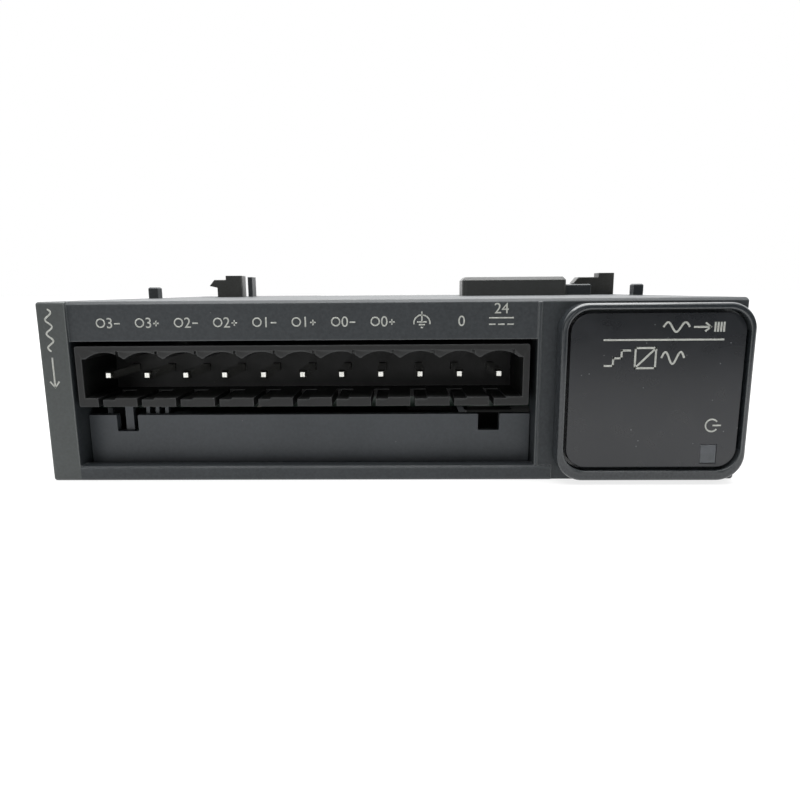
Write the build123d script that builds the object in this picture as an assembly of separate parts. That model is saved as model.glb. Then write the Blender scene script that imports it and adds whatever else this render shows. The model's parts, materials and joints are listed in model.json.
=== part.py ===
from build123d import *
import os

# Expansion module of a modular controller, in millimetres.
# It lies on its right side: +X is the window end (the top once it is on its rail), -Y is the
# front, +Z is the left side, which carries the bus plug and the lock hooks.
# The origin is under the middle of the body, on the right side's outer face.

# ---- overall body ----
body_length = 90.0
body_depth = 70.0
body_width = 23.6
wall = 1.6
corner_r = 0.4
edge_r = 0.4
gap = 0.3              # between pieces that move past each other
fit = 0.1              # round a piece that is snapped or pushed in
pin_fit = 0.03         # round each contact in its housing or board

# ---- front cover ----
bezel_proud = 2.2
strip_length = 3.8     # plain end strip beside the terminals
strip_proud = 0.4
front_depth = 7.0
rim_height = 1.95
rim_bevel = 0.25
bay_side_gap = 0.65
bay_skirt = 1.0
bay_skirt_depth = 4.4
seam_width = 0.45
seam_proud = 0.25

# ---- terminal header ----
poles = 11
pole_pitch = 5.08
header_end = 3.81      # from the last contact to the end of the housing
header_height = 7.9
header_depth = 11.9
header_recess = 0.1
header_corner = 0.15
header_wall = 0.85
header_floor = 1.15
dome_wall = 0.8
dome_rise = 0.85
header_cavity = 9.4
header_slit = 0.6      # between the housing and the label band
code_slot = 0.6
code_slot_offset = 0.97
code_slot_depth = 7.0
key_width = 1.6        # shallow step beside each coding slot
key_depth = 0.2
nick = 0.35            # small mould nick in each arch
nick_offset = 1.65
contact = 1.0
contact_recess = 0.8
contact_tail = 1.0
contact_taper = 0.2     # taken off each side of a contact at its tip
contact_taper_run = 0.5

# ---- panel under the header ----
panel_recess = 3.2
panel_thickness = 1.2
panel_top = 8.3
notch_width = 2.85
notch_depth = 2.25
notch_shift = 0.85     # from an end contact towards the middle
rib = 1.1              # upright behind the first notch
rib_set_back = 0.8
comb_rib = 0.5
comb_pitch = 1.3
comb_count = 3
comb_height = 1.0

# ---- boards ----
board_thickness = 1.6
board_bottom = 8.4
board_margin = 0.6
board_front_gap = 8.0
board_rear_gap = 1.1
post = 3.0
post_inset = 4.0       # from the board's front edge to the middle of the front posts

# ---- what stands on the board; each size is X, Y, Z ----
chip_corner = 0.06     # corner bevel, as a share of the narrower side
transformer_size = (12.0, 11.0, 8.0)
transformer_flange = 1.5
transformer_cheek = 2.0
transformer_winding = 1.5
capacitor_radius = 3.15
capacitor_height = 7.7
capacitor_pitch = 7.5
inductor_size = (7.3, 7.3, 4.2)
converter_size = (7.0, 7.0, 1.0)
controller_size = (10.0, 10.0, 1.4)
amplifier_size = (5.0, 4.0, 1.5)
amplifier_pitch = 7.0
isolator_size = (7.5, 10.3, 2.3)
isolator_pitch = 9.0
fuse_size = (6.1, 2.6, 2.6)
diode_size = (2.6, 4.3, 2.2)
regulator_size = (4.9, 3.9, 1.6)
crystal_size = (3.2, 5.0, 1.1)
resistor_size = (1.25, 2.0, 0.55)
resistor_pitch = 3.0

# ---- window ----
bezel_length = 23.8
bezel_height = 22.5
bezel_base = 0.5
bezel_r = 3.4
bezel_edge_r = 0.5
bezel_rim = 0.75
bezel_rim_low = 1.35
bezel_spigot = 1.2
ledge = 1.3
plate_thickness = 1.2
plate_r = 2.4
plate_drop = 0.3
plate_gap = 0.45       # the dark line round the plate
plate_spigot = 0.6     # centres the plate in the bezel's opening
lens_fit = 0.03
lens_size = 2.0
lens_height = 2.4
lens_from_end = 4.65   # from the body's window end to the middle of the lens
lens_above_plate = 0.5
guide_run = 7.0
led_height = 1.1
led_size = 2.6

# ---- bus plug and socket ----
bus_length = 19.3
bus_width = 7.0
bus_centre_x = 22.3
bus_centre_y = 8.2
bus_stand = 3.4        # how far the plug stands off the left side
bus_wall = 1.0
bus_cavity_depth = 8.0
bus_edge = 0.6
bus_contacts_per_row = 10
bus_pitch = 1.5
bus_row_pitch = 2.0
bus_contact = 0.5
bus_contact_recess = 1.4
tongue_recess = 0.5
socket_flange_gap = 0.5
socket_hole = 0.8
bus_key_length = 4.6   # low key beside the plug, towards the window end
bus_key_width = 4.0
bus_key_height = 2.0

# ---- pegs that line two modules up ----
peg = 1.7
peg_height = 1.9
peg_x = (-40.85, 41.2)
peg_y = -4.8

# ---- lock slider ----
lock_travel = 4.0
hook_tips = (-37.2, 35.4)
hook_steps = (3.3, 4.9)      # from each hook's tip to the step in its back
hook_lengths = (6.6, 8.0)
hook_y = 14.7
hook_thickness = 3.0
hook_rise = 4.2
barb_nose = 1.0
barb_step_drop = 0.8
barb_reach = 1.55
barb_tip_rise = 2.2
barb_under_rise = 1.85
stop_gap = 1.15        # behind the first hook, which has the stop
stop_length = 0.9
stop_drop = 0.3
bar_width = 5.2
bar_thickness = 1.8
bar_end_inset = 0.3
tab_width = 10.0
tab_length = 6.0
tab_extra = 1.0
tab_grooves = 4
tab_groove = 0.5
saddle_length = 6.0
saddle_wall = 1.1
saddle_x = (-22.0, -4.0)

# ---- 35 mm rail groove and its clip ----
rail_width = 35.0
rail_thickness = 1.0
rail_fit = 0.4
rail_seat_depth = 5.6  # from the rear face to the flange's seat
rail_lip = 1.5
rail_lip_thickness = 1.9
rail_lead = 1.0
groove_wall = 1.8
clip_travel = 8.5
clip_width = 13.0
clip_thickness = 2.0
clip_lip = 1.6
clip_retainer = 1.5
clip_stud = 3.0
clip_stud_inset = 4.0
clip_pull = 4.0
clip_slot = 1.6
clip_slot_length = 5.0
clip_end_inset = 0.2
bridge_length = 2.4

# ---- vents, snaps and label ----
vent_count = 8
vent_pitch = 3.4
vent_width = 1.5
vent_low = 3.4
vent_high = 16.4
vent_start_y = -19.0
snap_width = 6.0
snap_height = 3.4
snap_thickness = 1.2
snap_nose = 0.9
snap_y = (-14.0, 23.8)
tongue_width = 8.0
tongue_x = (-28.0, 28.0)
label_length = 60.0
label_height = 14.0
label_depth = 0.15
label_sheet = 0.1
label_y = -16.4

# ---- places that follow from the sizes above ----
left_x = -body_length / 2
right_x = body_length / 2
rear_y = body_depth / 2
bezel_y = -body_depth / 2
face_y = bezel_y + bezel_proud
sunk_y = face_y + strip_proud
joint_y = face_y + front_depth
cover_z = body_width - wall

header_length = (poles - 1) * pole_pitch + 2 * header_end
bay_low_x = left_x + strip_length
header_x = bay_low_x + bay_side_gap + header_length / 2
bay_high_x = header_x + header_length / 2 + bay_side_gap + 0.3
board_top = board_bottom + board_thickness
header_base = board_top
header_top = header_base + header_height
bay_top = header_top + header_slit
header_front_y = face_y + header_recess
header_back_y = header_front_y + header_depth
contact_z = header_base + header_height / 2 + 0.1
contact_x = [header_x + (i - (poles - 1) / 2) * pole_pitch for i in range(poles)]
tail_y = header_back_y + 1.4
panel_y = face_y + panel_recess
rib_back_y = panel_y + panel_thickness + rib_set_back / 2

bezel_low_x = right_x - bezel_length
bezel_top = bezel_base + bezel_height
window_x = (bezel_low_x + bezel_rim, right_x - bezel_rim)
window_z = (bezel_base + bezel_rim_low, bezel_top - bezel_rim)
plate_x = (window_x[0] + plate_gap, window_x[1] - plate_gap)
plate_z = (window_z[0] + plate_gap, window_z[1] - plate_gap)
plate_y = (bezel_y + plate_drop, bezel_y + plate_drop + plate_thickness)
lens_x = (right_x - lens_from_end - lens_size / 2, right_x - lens_from_end + lens_size / 2)
lens_z = (plate_z[0] + lens_above_plate, plate_z[0] + lens_above_plate + lens_height)

board_x = (left_x + wall + board_margin, right_x - wall - board_margin)
seat_y = rear_y - rail_seat_depth
groove_back_y = seat_y - groove_wall
board_y = (face_y + board_front_gap, groove_back_y - board_rear_gap)
groove_half = rail_width / 2 + rail_fit
lip_y = seat_y + rail_thickness + gap
clip_y = (lip_y, lip_y + clip_thickness)
clip_z = (body_width / 2 - clip_width / 2, body_width / 2 + clip_width / 2)

# places on the board, from its ends, its front or rear edge and the contacts
leg_y = (tail_y, tail_y + contact)
diode_place = (contact_x[0], leg_y[1] + 2.5)
transformer_place = (board_x[0] + 14.8, leg_y[1] + 12.5)
converter_place = (board_x[0] + 33.8, leg_y[1] + 10.5)
amplifier_place = (board_x[0] + 10.8, board_y[1] - 20.5)
resistor_place = (board_x[0] + 12.8, board_y[1] - 11.5)
controller_place = (bus_centre_x - 22.3, board_y[1] - 22.5)
crystal_place = (bus_centre_x - 13.3, board_y[1] - 25.0)
isolator_place = (bus_centre_x - 16.3, leg_y[1] + 7.5)
inductor_place = (board_x[1] - 20.8, leg_y[1] + 10.5)
regulator_place = (board_x[1] - 14.8, board_y[1] - 28.0)
fuse_place = (board_x[1] - 12.8, board_y[0] + 5.3)
capacitor_place = (board_x[1] - 6.8, board_y[0] + 10.8)

bar_y = (hook_y - bar_width / 2, hook_y + bar_width / 2)
bar_z = (cover_z - gap - bar_thickness, cover_z - gap)
hook_half = hook_thickness / 2
hooks = list(zip(hook_tips, hook_steps, hook_lengths))


def span(centre, size):
    """The two ends of a size set about its middle."""
    return (centre - size / 2, centre + size / 2)


def grow(ends, amount):
    """A span made longer by the same amount at both ends."""
    return (ends[0] - amount, ends[1] + amount)


def block(x, y, z):
    """A box given by its two ends along each axis."""
    middle = ((x[0] + x[1]) / 2, (y[0] + y[1]) / 2, (z[0] + z[1]) / 2)
    return Pos(*middle) * Box(x[1] - x[0], y[1] - y[0], z[1] - z[0])


def rounded_slab(x, z, y, radius):
    """A slab across Y whose outline in X and Z has round corners."""
    slab = block(x, y, z)
    return fillet(slab.edges().filter_by(Axis.Y), radius)


def profile_yz(points, x):
    """A straight piece along X with the given outline in Y and Z."""
    face = make_face(Polyline(*[(x[0], y, z) for y, z in points], close=True))
    return extrude(face, amount=x[1] - x[0], dir=(1, 0, 0))


def profile_xz(points, y):
    """A straight piece along Y with the given outline in X and Z."""
    face = make_face(Polyline(*[(x, y[0], z) for x, z in points], close=True))
    return extrude(face, amount=y[1] - y[0], dir=(0, 1, 0))


def profile_xy(points, z):
    """A straight piece along Z with the given outline in X and Y."""
    face = make_face(Polyline(*[(x, y, z[0]) for x, y in points], close=True))
    return extrude(face, amount=z[1] - z[0], dir=(0, 0, 1))


# ---------------------------------------------------------------- front cover
def front_shell():
    """A block with eased edges; all but its end strip and bottom rim is set back a little."""
    shell = block((left_x, right_x), (face_y, joint_y), (0, body_width))
    shell = fillet(shell.edges().filter_by(Axis.Y), corner_r)
    shell = fillet(shell.faces().sort_by(Axis.Y)[0].edges(), edge_r)
    rim_edge = rim_height - rim_bevel
    outline = [(face_y - 1.0, rim_edge), (face_y, rim_edge), (face_y + rim_bevel, rim_height),
               (sunk_y, rim_height), (sunk_y, body_width - edge_r),
               (sunk_y + edge_r, body_width), (sunk_y + edge_r, body_width + 1.0),
               (face_y - 1.0, body_width + 1.0)]
    shell -= profile_yz(outline, (bay_low_x, right_x + 1.0))
    window_end = (bezel_low_x - fit, right_x + 1.0)
    return shell - block(window_end, (face_y - 1.0, sunk_y), (-1.0, rim_height + 1.0))


def front_cover():
    cover = front_shell()
    inside = (sunk_y + wall, joint_y + 1.0)
    cover -= block((left_x + wall, right_x - wall), inside, (wall, cover_z))
    cover -= block((bay_low_x, bay_high_x), (face_y - 1.0, joint_y), (rim_height, bay_top))
    for side in (bay_low_x - bay_skirt, bay_high_x):
        skirt = (side, side + bay_skirt)
        cover += block(skirt, (sunk_y + wall / 2, face_y + bay_skirt_depth), (wall, cover_z))
    ridge_x = (bay_high_x, bay_high_x + seam_width)
    ridge_z = (rim_height, body_width - edge_r)
    cover += block(ridge_x, (sunk_y - seam_proud, sunk_y + wall / 2), ridge_z)
    hole_x = grow(plate_x, fit - ledge)
    hole_z = grow(plate_z, fit - ledge)
    through = grow((sunk_y, sunk_y + wall), 0.5)
    cover -= rounded_slab(hole_x, hole_z, through, plate_r / 2)
    return cover - block(grow(lens_x, fit), through, grow(lens_z, fit))


def bay_panel():
    panel_x = grow((bay_low_x, bay_high_x), -fit)
    panel = block(panel_x, (panel_y, panel_y + panel_thickness), (wall, panel_top))
    notch_z = (panel_top - notch_depth, panel_top + 1.0)
    for middle in (contact_x[0] + notch_shift, contact_x[-1] - notch_shift):
        notch_y = (panel_y - 1.0, panel_y + panel_thickness + 1.0)
        panel -= block(span(middle, notch_width), notch_y, notch_z)
    back_y = (panel_y + rib_set_back, rib_back_y)
    first = contact_x[0] + notch_shift
    panel += block(span(first, rib), back_y, (wall, header_base - gap))
    for i in range(comb_count):
        tooth_x = span(first + notch_width / 2 + comb_pitch * (i + 0.9), comb_rib)
        panel += block(tooth_x, back_y, (wall, panel_top + comb_height))
    return panel


# ---------------------------------------------------------------- window
def window_bezel():
    bezel_x = (bezel_low_x, right_x)
    bezel = rounded_slab(bezel_x, (bezel_base, bezel_top), (bezel_y, sunk_y), bezel_r)
    bezel = fillet(bezel.faces().sort_by(Axis.Y)[0].edges(), bezel_edge_r)
    spigot_x = grow(plate_x, -ledge)
    spigot_z = grow(plate_z, -ledge)
    bezel += rounded_slab(spigot_x, spigot_z, (sunk_y - 0.5, sunk_y + bezel_spigot), plate_r / 2)
    seat_y = (bezel_y - 1.0, plate_y[1])
    bezel -= rounded_slab(window_x, window_z, seat_y, plate_r + plate_gap)
    core_x = grow(plate_x, -2 * ledge)
    core_z = grow(plate_z, -2 * ledge)
    bezel -= rounded_slab(core_x, core_z, (bezel_y, sunk_y + 3.0), plate_r / 2)
    lens_way = (bezel_y, sunk_y + 3.0)
    return bezel - block(grow(lens_x, lens_fit), lens_way, grow(lens_z, lens_fit))


def window_plate():
    plate = rounded_slab(plate_x, plate_z, plate_y, plate_r)
    spigot_x = grow(plate_x, -2 * ledge - fit)
    spigot_z = grow(plate_z, -2 * ledge - fit)
    spigot_y = (plate_y[1] - 0.5, plate_y[1] + plate_spigot)
    spigot = rounded_slab(spigot_x, spigot_z, spigot_y, plate_r / 2)
    plate += spigot - block(grow(lens_x, ledge), spigot_y, grow(lens_z, ledge))
    return plate - block(grow(lens_x, lens_fit), grow(plate_y, 1.0), grow(lens_z, lens_fit))


def led_lens():
    lens = block(lens_x, plate_y, lens_z)
    return chamfer(lens.faces().sort_by(Axis.Y)[0].edges(), 0.06)


def led_place():
    """Y and Z spans of the lamp, under the board behind the lens."""
    front = plate_y[1] + guide_run + 2.0
    return (front, front + led_size / 2), (board_bottom - led_height - 0.5, board_bottom)


def light_guide():
    led_y, led_z = led_place()
    start = plate_y[1]
    bend = start + guide_run / 2
    low, high = grow(lens_z, -0.4)
    outline = [(start, low), (bend, low), (led_y[0] - fit, led_z[0] + 0.1),
               (led_y[0] - fit, led_z[1] - fit), (led_y[0] - 0.8, led_z[1] - fit),
               (bend, high), (start, high)]
    return profile_yz(outline, grow(lens_x, -0.3))


def power_led():
    led_y, led_z = led_place()
    lamp = block(span((lens_x[0] + lens_x[1]) / 2, led_size), led_y, led_z)
    return chamfer(lamp.edges().filter_by(Axis.Z), 0.15)


# ---------------------------------------------------------------- terminals
def terminal_header():
    body_x = span(header_x, header_length)
    body_y = (header_front_y, header_back_y)
    housing = block(body_x, body_y, (header_base, header_top))
    housing = chamfer(housing.edges().filter_by(Axis.Y), header_corner)
    inner_x = grow(body_x, -header_wall)
    inner_y = (header_front_y - 1.0, header_front_y + header_cavity)
    cusp_z = header_top - dome_wall - dome_rise
    housing -= block(inner_x, inner_y, (header_base + header_floor, cusp_z))
    half = pole_pitch / 2 - 0.12
    radius = (half ** 2 + dome_rise ** 2) / (2 * dome_rise)
    for x in contact_x:
        axle = Pos(x, (inner_y[0] + inner_y[1]) / 2, cusp_z + dome_rise - radius)
        arch = axle * Rot(90, 0, 0) * Cylinder(radius, inner_y[1] - inner_y[0])
        keep_z = (cusp_z - 0.2, header_top - dome_wall + 0.1)
        housing -= arch & block((x - half, x + half), inner_y, keep_z)
        slot_x = span(x - code_slot_offset, code_slot)
        slot_y = (header_front_y - 1.0, header_front_y + code_slot_depth)
        housing -= block(slot_x, slot_y, (header_base - 1.0, header_base + header_floor + 0.2))
        key_x = (slot_x[0], slot_x[1] + key_width)
        key_z = (header_base + header_floor - key_depth, header_base + header_floor + 0.2)
        housing -= block(key_x, slot_y, key_z)
        nick_y = (header_front_y - 1.0, header_front_y + 2 * nick)
        nick_z = (cusp_z, header_top - dome_wall + nick / 3)
        housing -= block(span(x + nick_offset, nick), nick_y, nick_z)
        hole = grow(span(x, contact), pin_fit)
        housing -= block(hole, grow(body_y, 1.0), grow(span(contact_z, contact), pin_fit))
    return housing


def header_contacts():
    tip_y = face_y + contact_recess
    tail_z = (board_bottom - contact_tail, contact_z + contact / 2)
    pins = []
    for x in contact_x:
        blade = block(span(x, contact), (tip_y, leg_y[1]), span(contact_z, contact))
        tip = blade.faces().sort_by(Axis.Y)[0]
        blade = chamfer(tip.edges(), contact_taper, contact_taper_run, reference=tip)
        pins.append(blade + block(span(x, contact), leg_y, tail_z))
    return Compound(children=pins)


# ---------------------------------------------------------------- board
def main_board():
    board = block(board_x, board_y, (board_bottom, board_top))
    board = fillet(board.edges().filter_by(Axis.Z), 1.0)
    for x in contact_x:
        hole_y = grow(leg_y, pin_fit)
        board -= block(grow(span(x, contact), pin_fit), hole_y, (0, body_width))
    return board


def chip(place, size, underside=False):
    """A moulded package on the board's upper or lower side, its middle at place."""
    z = (board_top, board_top + size[2])
    if underside:
        z = (board_bottom - size[2], board_bottom)
    package = block(span(place[0], size[0]), span(place[1], size[1]), z)
    return chamfer(package.edges().filter_by(Axis.Z), min(size[0], size[1]) * chip_corner)


def dc_transformer():
    x, y = transformer_place
    core = chip(transformer_place, transformer_size)
    window_z = grow((board_top, board_top + transformer_size[2]), -transformer_flange)
    window_x = grow(span(x, transformer_size[0]), -transformer_cheek)
    for side in (-1, 1):
        window_y = span(y + side * transformer_size[1] / 2, 2 * transformer_winding)
        core -= block(window_x, window_y, window_z)
    return core


def input_capacitors():
    cans = []
    for i in range(2):
        place = (capacitor_place[0], capacitor_place[1] + i * capacitor_pitch, board_top)
        base = (Align.CENTER, Align.CENTER, Align.MIN)
        can = Pos(*place) * Cylinder(capacitor_radius, capacitor_height, align=base)
        cans.append(fillet(can.faces().sort_by(Axis.Z)[-1].edges(), 0.4))
    return Compound(children=cans)


def chip_row(count, place, pitch, size, underside=False):
    chips = [chip((place[0] + i * pitch, place[1]), size, underside) for i in range(count)]
    return Compound(children=chips)


# ---------------------------------------------------------------- bus
def bus_places():
    for column in range(bus_contacts_per_row):
        for row in (-1, 1):
            x = bus_centre_x + (column - (bus_contacts_per_row - 1) / 2) * bus_pitch
            yield x, bus_centre_y + row * bus_row_pitch / 2


def bus_outline(extra=0.0):
    return (grow(span(bus_centre_x, bus_length), extra), grow(span(bus_centre_y, bus_width), extra))


def bus_key_x():
    low = bus_outline()[0][1] + gap
    return (low, low + bus_key_length)


def bus_plug_shroud():
    plug_x, plug_y = bus_outline()
    top = body_width + bus_stand
    shroud = block(plug_x, plug_y, (board_top, top))
    shroud = fillet(shroud.edges().filter_by(Axis.Z), bus_edge + 0.3)
    shroud = chamfer(shroud.faces().sort_by(Axis.Z)[-1].edges(), bus_edge)
    cavity_x, cavity_y = bus_outline(-bus_wall)
    shroud -= block(cavity_x, cavity_y, (top - bus_cavity_depth, top + 1.0))
    for x, y in bus_places():
        hole_x = grow(span(x, bus_contact), pin_fit)
        hole_y = grow(span(y, bus_contact), pin_fit)
        shroud -= block(hole_x, hole_y, (board_top - 1.0, top + 1.0))
    return shroud


def bus_plug_contacts():
    pin_z = (board_top, body_width + bus_stand - bus_contact_recess)
    pins = []
    for x, y in bus_places():
        pin = block(span(x, bus_contact), span(y, bus_contact), pin_z)
        pins.append(chamfer(pin.faces().sort_by(Axis.Z)[-1].edges(), 0.12))
    return Compound(children=pins)


def bus_socket_body():
    tongue_x, tongue_y = bus_outline(-bus_wall - 0.2)
    flange_x, flange_y = bus_outline(0.4)
    socket = block(tongue_x, tongue_y, (tongue_recess, board_bottom))
    socket = chamfer(socket.faces().sort_by(Axis.Z)[0].edges(), 0.3)
    socket += block(flange_x, flange_y, (bus_stand + socket_flange_gap, board_bottom))
    for x, y in bus_places():
        socket -= block(span(x, socket_hole), span(y, socket_hole), (0, board_bottom + 1.0))
    return socket


def bus_socket_contacts():
    leaves = []
    for x, y in bus_places():
        outside = 1 if y > bus_centre_y else -1
        leaf_y = span(y + outside * 0.25, 0.2)
        leaves.append(block(span(x, socket_hole - 0.2), leaf_y, (tongue_recess + 0.6, board_bottom)))
    return Compound(children=leaves)


# ---------------------------------------------------------------- lock slider
def hook_outline(tip, step, length):
    base = bar_z[1]
    side = body_width
    top = side + hook_rise
    barb_top = top - barb_step_drop
    return [(tip, side + barb_tip_rise), (tip + barb_nose, barb_top), (tip + step, barb_top),
            (tip + step, top), (tip + length, top), (tip + length, base),
            (tip + barb_reach, base), (tip + barb_reach, side + barb_under_rise)]


def lock_slider():
    bar_x = (left_x + bar_end_inset + lock_travel, right_x - bar_end_inset)
    slider = block(bar_x, bar_y, bar_z)
    tab_x = (bar_x[1] - tab_length, bar_x[1])
    tab_z = (bar_z[0] - tab_extra, bar_z[1])
    slider += block(tab_x, span(hook_y, tab_width), tab_z)
    for i in range(tab_grooves):
        y = hook_y + (i - (tab_grooves - 1) / 2) * tab_width / tab_grooves
        slider -= block((bar_x[1] - tab_groove, bar_x[1] + 1.0), span(y, tab_groove), grow(tab_z, 1.0))
    for tip, step, length in hooks:
        slider += profile_xz(hook_outline(tip, step, length), (hook_y - hook_half, hook_y + hook_half))
    return slider


# ---------------------------------------------------------------- case
def body_outline():
    """The body's outline in X and Y behind the front cover, with its rail groove."""
    lip_end_y = lip_y + rail_lip_thickness
    return [(left_x, joint_y), (right_x, joint_y), (right_x, rear_y),
            (groove_half + rail_lead, rear_y), (groove_half - rail_lip, lip_end_y),
            (groove_half - rail_lip, lip_y), (groove_half, lip_y), (groove_half, seat_y),
            (-groove_half, seat_y), (-groove_half, rear_y), (left_x, rear_y)]


def clip_channel():
    """The space the rail clip slides in, open to the rear between its two retainers."""
    run_x = (left_x - 1.0, -groove_half + 1.0)
    bar = block(run_x, (clip_y[0] - gap, clip_y[1] + gap), grow(clip_z, gap))
    window_z = grow(clip_z, -clip_retainer)
    window = block(run_x, (clip_y[1], rear_y + 1.0), window_z)
    pull_x = (left_x - 1.0, left_x + clip_pull + clip_travel / 4)
    pull = block(pull_x, (clip_y[0] - gap, rear_y + 1.0), grow(clip_z, gap))
    return bar + window + pull


def clip_bridge():
    """The bar across the channel that the clip's stud stops against when it is pulled out."""
    stud_low = -groove_half - clip_stud_inset - clip_stud
    bridge_x = (stud_low - clip_travel - bridge_length, stud_low - clip_travel - fit)
    return block(bridge_x, (clip_y[1] + gap, rear_y - gap), clip_z)


def end_openings():
    """Vents, snap windows and the lock slider's slots through the two end walls."""
    cuts = []
    for wall_x in ((left_x - 1.0, left_x + wall + 1.0), (right_x - wall - 1.0, right_x + 1.0)):
        for i in range(vent_count):
            vent_y = span(vent_start_y + i * vent_pitch, vent_width)
            cuts.append(block(wall_x, vent_y, (vent_low, vent_high)))
        for y in snap_y:
            cuts.append(block(wall_x, span(y, snap_width + 2 * fit), snap_window_z()))
    low_slot = grow(bar_y, gap)
    cuts.append(block((left_x - 1.0, left_x + wall + 1.0), low_slot, (bar_z[0] - gap, cover_z)))
    high_slot = grow(span(hook_y, tab_width), gap)
    high_x = (right_x - wall - 1.0, right_x + 1.0)
    cuts.append(block(high_x, high_slot, (bar_z[0] - tab_extra - gap, cover_z)))
    return cuts


def snap_window_z():
    low = cover_z - snap_height
    return (low - fit, low + snap_nose + fit)


def neighbour_openings():
    """Openings in the right side for the next module's hooks, pegs and bus plug."""
    side_z = (-1.0, wall + 1.0)
    cuts = []
    for tip, _, length in hooks:
        slot_x = (tip - gap, tip + length + stop_gap + stop_length + gap)
        cuts.append(block(slot_x, grow(span(hook_y, hook_thickness), gap), side_z))
    cuts.append(block(grow(bus_key_x(), gap), grow(span(bus_centre_y, bus_key_width), gap), side_z))
    for x in peg_x:
        hole_x = grow(span(x, peg), fit)
        cuts.append(block(hole_x, grow(span(peg_y, peg), fit), side_z))
    cuts.append(block(*bus_outline(0.4), side_z))
    return cuts


def rear_case():
    case = profile_xy(body_outline(), (0, cover_z))
    lower = case.edges().filter_by(Axis.Y).filter_by(lambda e: abs(e.center().Z) < 0.01)
    case = fillet([e for e in lower if abs(e.center().X) > right_x - 0.01], corner_r)
    inner_x = (left_x + wall, right_x - wall)
    inner_z = (wall, body_width)
    case -= block(inner_x, (joint_y - 1.0, groove_back_y), inner_z)
    pocket_x = (groove_half + groove_wall, right_x - wall)
    case -= block(pocket_x, (groove_back_y - 1.0, rear_y - wall), inner_z)
    case -= clip_channel()
    case += clip_bridge()
    for cut in end_openings() + neighbour_openings():
        case -= cut
    label_x = span(0, label_length + 2 * fit)
    case -= block(label_x, span(label_y, label_height + 2 * fit), (-1.0, label_depth))
    for x in (board_x[0] + post, board_x[1] - post):
        for y in (board_y[0] + post_inset, board_y[1] - post / 2):
            case += block(span(x, post), span(y, post), (wall, board_bottom))
    for x in tongue_x:
        reach = (rib_back_y + fit, joint_y + 2.0)
        tongue = block(span(x, tongue_width), reach, (wall + fit, wall + fit + wall))
        root = block(span(x, tongue_width), (joint_y, joint_y + 2.0), (wall / 2, wall + fit + wall))
        case += tongue + root
    return case


def left_cover():
    cover = profile_xy(body_outline(), (cover_z, body_width))
    upper = cover.edges().filter_by(Axis.Y).filter_by(lambda e: abs(e.center().Z - body_width) < 0.01)
    cover = fillet([e for e in upper if abs(e.center().X) > right_x - 0.01], corner_r)
    for x in peg_x:
        stub = block(span(x, peg), span(peg_y, peg), (cover_z, body_width + peg_height))
        cover += chamfer(stub.faces().sort_by(Axis.Z)[-1].edges(), 0.2)
    for tip, _, length in hooks:
        slot_x = (tip + barb_reach - lock_travel - gap, tip + length + gap)
        cover -= block(slot_x, grow(span(hook_y, hook_thickness), gap), (cover_z - 1.0, body_width + 1.0))
    stop_low = hook_tips[0] + hook_lengths[0] + stop_gap
    stop_z = (cover_z, body_width + hook_rise - stop_drop)
    cover += block((stop_low, stop_low + stop_length), span(hook_y, hook_thickness), stop_z)
    cover -= block(*bus_outline(0.2), (cover_z - 1.0, body_width + 1.0))
    key = block(bus_key_x(), span(bus_centre_y, bus_key_width), (cover_z, body_width + bus_key_height))
    cover += chamfer(key.faces().sort_by(Axis.Z)[-1].edges(), 0.2)
    for x in saddle_x:
        saddle_y = grow(bar_y, gap + saddle_wall)
        saddle_z = (bar_z[0] - gap - saddle_wall, cover_z + 0.5)
        saddle = block(span(x, saddle_length), saddle_y, saddle_z)
        tunnel_z = (bar_z[0] - gap, cover_z)
        cover += saddle - block(span(x, saddle_length + 2.0), grow(bar_y, gap), tunnel_z)
    for side in (-1, 1):
        inner = side * (right_x - wall - fit)
        for y in snap_y:
            leg_x = sorted((inner, inner - side * snap_thickness))
            leg_z = (cover_z - snap_height - 0.6, cover_z + 0.5)
            cover += block(leg_x, span(y, snap_width), leg_z)
            nose_x = sorted((inner - side * 0.5, inner + side * (fit + wall / 2)))
            nose_z = (cover_z - snap_height, cover_z - snap_height + snap_nose)
            cover += block(nose_x, span(y, snap_width), nose_z)
    return cover


# ---------------------------------------------------------------- rail clip
def din_clip():
    low_x = left_x + clip_end_inset
    high_x = -groove_half + clip_lip
    bar = block((low_x, high_x), clip_y, clip_z)
    bar = chamfer(bar.edges().filter_by(Axis.Z).group_by(Axis.X)[-1].sort_by(Axis.Y)[-1:], 1.0)
    stud_high = -groove_half - clip_stud_inset
    stud_z = grow(clip_z, -clip_retainer - gap)
    bar += block((stud_high - clip_stud, stud_high), (clip_y[1] - 0.5, rear_y - 2 * gap), stud_z)
    pull = block((low_x, low_x + clip_pull), (clip_y[0], rear_y - gap), clip_z)
    pull = fillet(pull.edges().filter_by(Axis.Z), 0.4)
    bar += pull
    slot_y = span((clip_y[0] + rear_y - gap) / 2, clip_slot)
    slot_z = span(body_width / 2, clip_slot_length)
    return bar - block((low_x - 1.0, low_x + clip_pull + 1.0), slot_y, slot_z)


def rating_label():
    sheet_z = (label_depth - label_sheet, label_depth)
    sheet = block(span(0, label_length), span(label_y, label_height), sheet_z)
    return fillet(sheet.edges().filter_by(Axis.Z), 1.0)


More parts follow.
